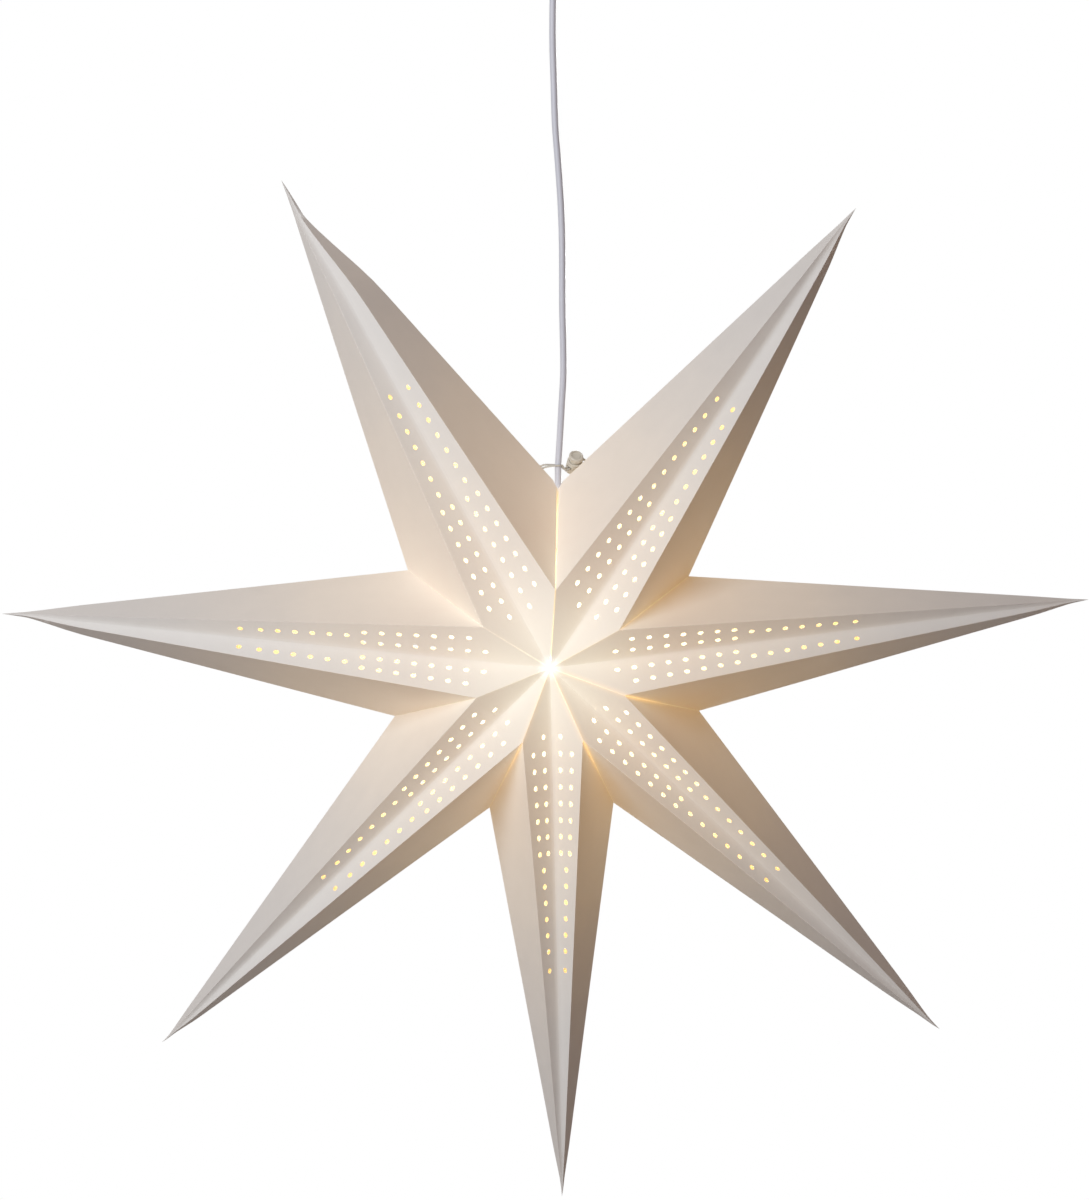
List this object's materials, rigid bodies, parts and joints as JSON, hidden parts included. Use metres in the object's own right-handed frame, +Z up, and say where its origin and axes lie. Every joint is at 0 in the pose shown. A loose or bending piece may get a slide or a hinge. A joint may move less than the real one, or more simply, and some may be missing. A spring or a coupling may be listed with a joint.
{
  "type": "paper star lantern",
  "caption": "Folded paper star lantern with hollow perforated points, lit by a globe bulb inside, hanging on its lamp cord from a ceiling cup.",
  "frame": {"origin": "middle of the ceiling bracket's top face, which lies against the ceiling", "axes": "+Z up into the ceiling, +X to the viewer's right in front of the star, -Y towards the viewer"},
  "size_m": [0.9975, 0.204, 1.1838],
  "materials": {
    "white_paper": "matt, folded, slightly translucent",
    "white_cord": "smooth sheath with a slight sheen",
    "white_moulding": "moulded, semi-gloss",
    "holder_moulding": "moulded, semi-gloss",
    "zinc_plated_steel": "zinc plated",
    "brass": "plain, pressed",
    "nickel_plate": "nickel plated, thin pressed metal",
    "contact_moulding": "matt heat-proof moulding",
    "black_insulator": "glossy",
    "frosted_globe": "frosted, lit",
    "led_filament": "coated, lit",
    "brown_core": "smooth insulation",
    "blue_core": "smooth insulation",
    "twisted_string": "two-ply twisted",
    "ivory_moulding": "moulded, semi-gloss"
  },
  "bodies": {
    "ceiling": {"ceiling_bracket": "zinc_plated_steel", "ceiling_cup": "white_moulding", "cup_screw_1": "zinc_plated_steel", "cup_screw_2": "zinc_plated_steel", "terminal_block": "contact_moulding", "terminal_screw_1": "brass", "terminal_screw_2": "brass", "wire_brown": "brown_core", "wire_blue": "blue_core"},
    "grip": {"cord_grip": "white_moulding", "cord_end": "white_cord"},
    "pendant": {"cord": "white_cord", "holder_cap": "holder_moulding", "holder_body": "holder_moulding", "contact_carrier": "contact_moulding", "centre_contact": "brass", "screw_shell": "brass", "side_contact": "brass", "terminal_post_1": "brass", "terminal_post_2": "brass", "holder_wire_brown": "brown_core", "holder_wire_blue": "blue_core"},
    "bulb_contacts": {"bulb_tip_contact": "brass", "bulb_insulator": "black_insulator"},
    "bulb": {"bulb_screw_base": "nickel_plate", "bulb_housing": "holder_moulding", "bulb_globe": "frosted_globe", "bulb_stem": "frosted_globe", "led_filament_1": "led_filament", "led_filament_2": "led_filament", "led_filament_3": "led_filament", "led_filament_4": "led_filament"},
    "star": {"star_point_5": "white_paper"},
    "arm_1": {"star_point_1": "white_paper", "tie_string_front": "twisted_string", "tie_string_back": "twisted_string", "tie_knot_left": "twisted_string", "tie_knot_right": "twisted_string"},
    "arm_2": {"star_point_2": "white_paper"},
    "arm_3": {"star_point_3": "white_paper"},
    "arm_4": {"star_point_4": "white_paper"},
    "arm_6": {"star_point_6": "white_paper"},
    "arm_7": {"star_point_7": "white_paper"},
    "cord_lock": {"lock_barrel": "ivory_moulding", "lock_spring": "zinc_plated_steel"},
    "lock_button": {"lock_plunger": "ivory_moulding"}
  },
  "joints": [
    {"name": "grip_tilt", "type": "hinge", "parent": "ceiling", "child": "grip", "pos_m": [0, 0, -0.0398], "axis": [0, 1, 0], "range_deg": [-18, 18], "deforming": ["wire_brown", "wire_blue"]},
    {"name": "cord_swing", "type": "hinge", "parent": "grip", "child": "pendant", "pos_m": [0, 0, -0.0668], "axis": [1, 0, 0], "range_deg": [-22, 22], "deforming": ["cord"]},
    {"name": "bulb_travel", "type": "slide", "parent": "pendant", "child": "bulb_contacts", "axis": [0, 0, -1], "range_m": [0, 0.01129]},
    {"name": "bulb_turn", "type": "hinge", "parent": "bulb_contacts", "child": "bulb", "pos_m": [0.0049, 0, -0.65], "axis": [0, 0, -1], "range_deg": [0, 1440.5]},
    {"name": "star_turn", "type": "hinge", "parent": "pendant", "child": "star", "pos_m": [0.0049, 0, -0.52], "axis": [0, 0, 1], "continuous": true},
    {"name": "star_fold", "type": "hinge", "parent": "star", "child": "arm_1", "pos_m": [-0.0057, 0, -0.683], "axis": [0, -1, 0], "range_deg": [0, 147.95], "deforming": ["star_point_1", "star_point_5", "tie_string_front", "tie_string_back"]},
    {"name": "fold_2", "type": "hinge", "parent": "star", "child": "arm_2", "pos_m": [-0.0057, 0, -0.683], "axis": [0, 1, 0], "range_deg": [0, 138.9], "deforming": ["star_point_2"]},
    {"name": "fold_3", "type": "hinge", "parent": "star", "child": "arm_3", "pos_m": [-0.0057, 0, -0.683], "axis": [0, 1, 0], "range_deg": [0, 91.15], "deforming": ["star_point_3"]},
    {"name": "fold_4", "type": "hinge", "parent": "star", "child": "arm_4", "pos_m": [-0.0057, 0, -0.683], "axis": [0, 1, 0], "range_deg": [0, 43.1], "deforming": ["star_point_4"]},
    {"name": "fold_6", "type": "hinge", "parent": "star", "child": "arm_6", "pos_m": [-0.0057, 0, -0.683], "axis": [0, -1, 0], "range_deg": [0, 44.9], "deforming": ["star_point_6"]},
    {"name": "fold_7", "type": "hinge", "parent": "star", "child": "arm_7", "pos_m": [-0.0057, 0, -0.683], "axis": [0, -1, 0], "range_deg": [0, 93.15], "deforming": ["star_point_7"]},
    {"name": "lock_slide", "type": "slide", "parent": "arm_1", "child": "cord_lock", "axis": [0.7285, 0.5469, 0.4126], "range_m": [0, 0.008], "deforming": ["tie_string_front", "tie_string_back"]},
    {"name": "lock_press", "type": "slide", "parent": "cord_lock", "child": "lock_button", "axis": [-0.1351, 0.7051, -0.6961], "range_m": [0, 0.0025], "stiffness_N_per_m": 400, "springref_m": -0.002, "deforming": ["lock_spring"]}
  ],
  "couplings": [
    {"joint": "bulb_turn", "follows": "bulb_travel", "rad_per_m": 2226.5},
    {"joint": "fold_2", "follows": "star_fold", "ratio": 0.93849},
    {"joint": "fold_3", "follows": "star_fold", "ratio": 0.61575},
    {"joint": "fold_4", "follows": "star_fold", "ratio": 0.29098},
    {"joint": "fold_6", "follows": "star_fold", "ratio": 0.30314},
    {"joint": "fold_7", "follows": "star_fold", "ratio": 0.62927}
  ]
}
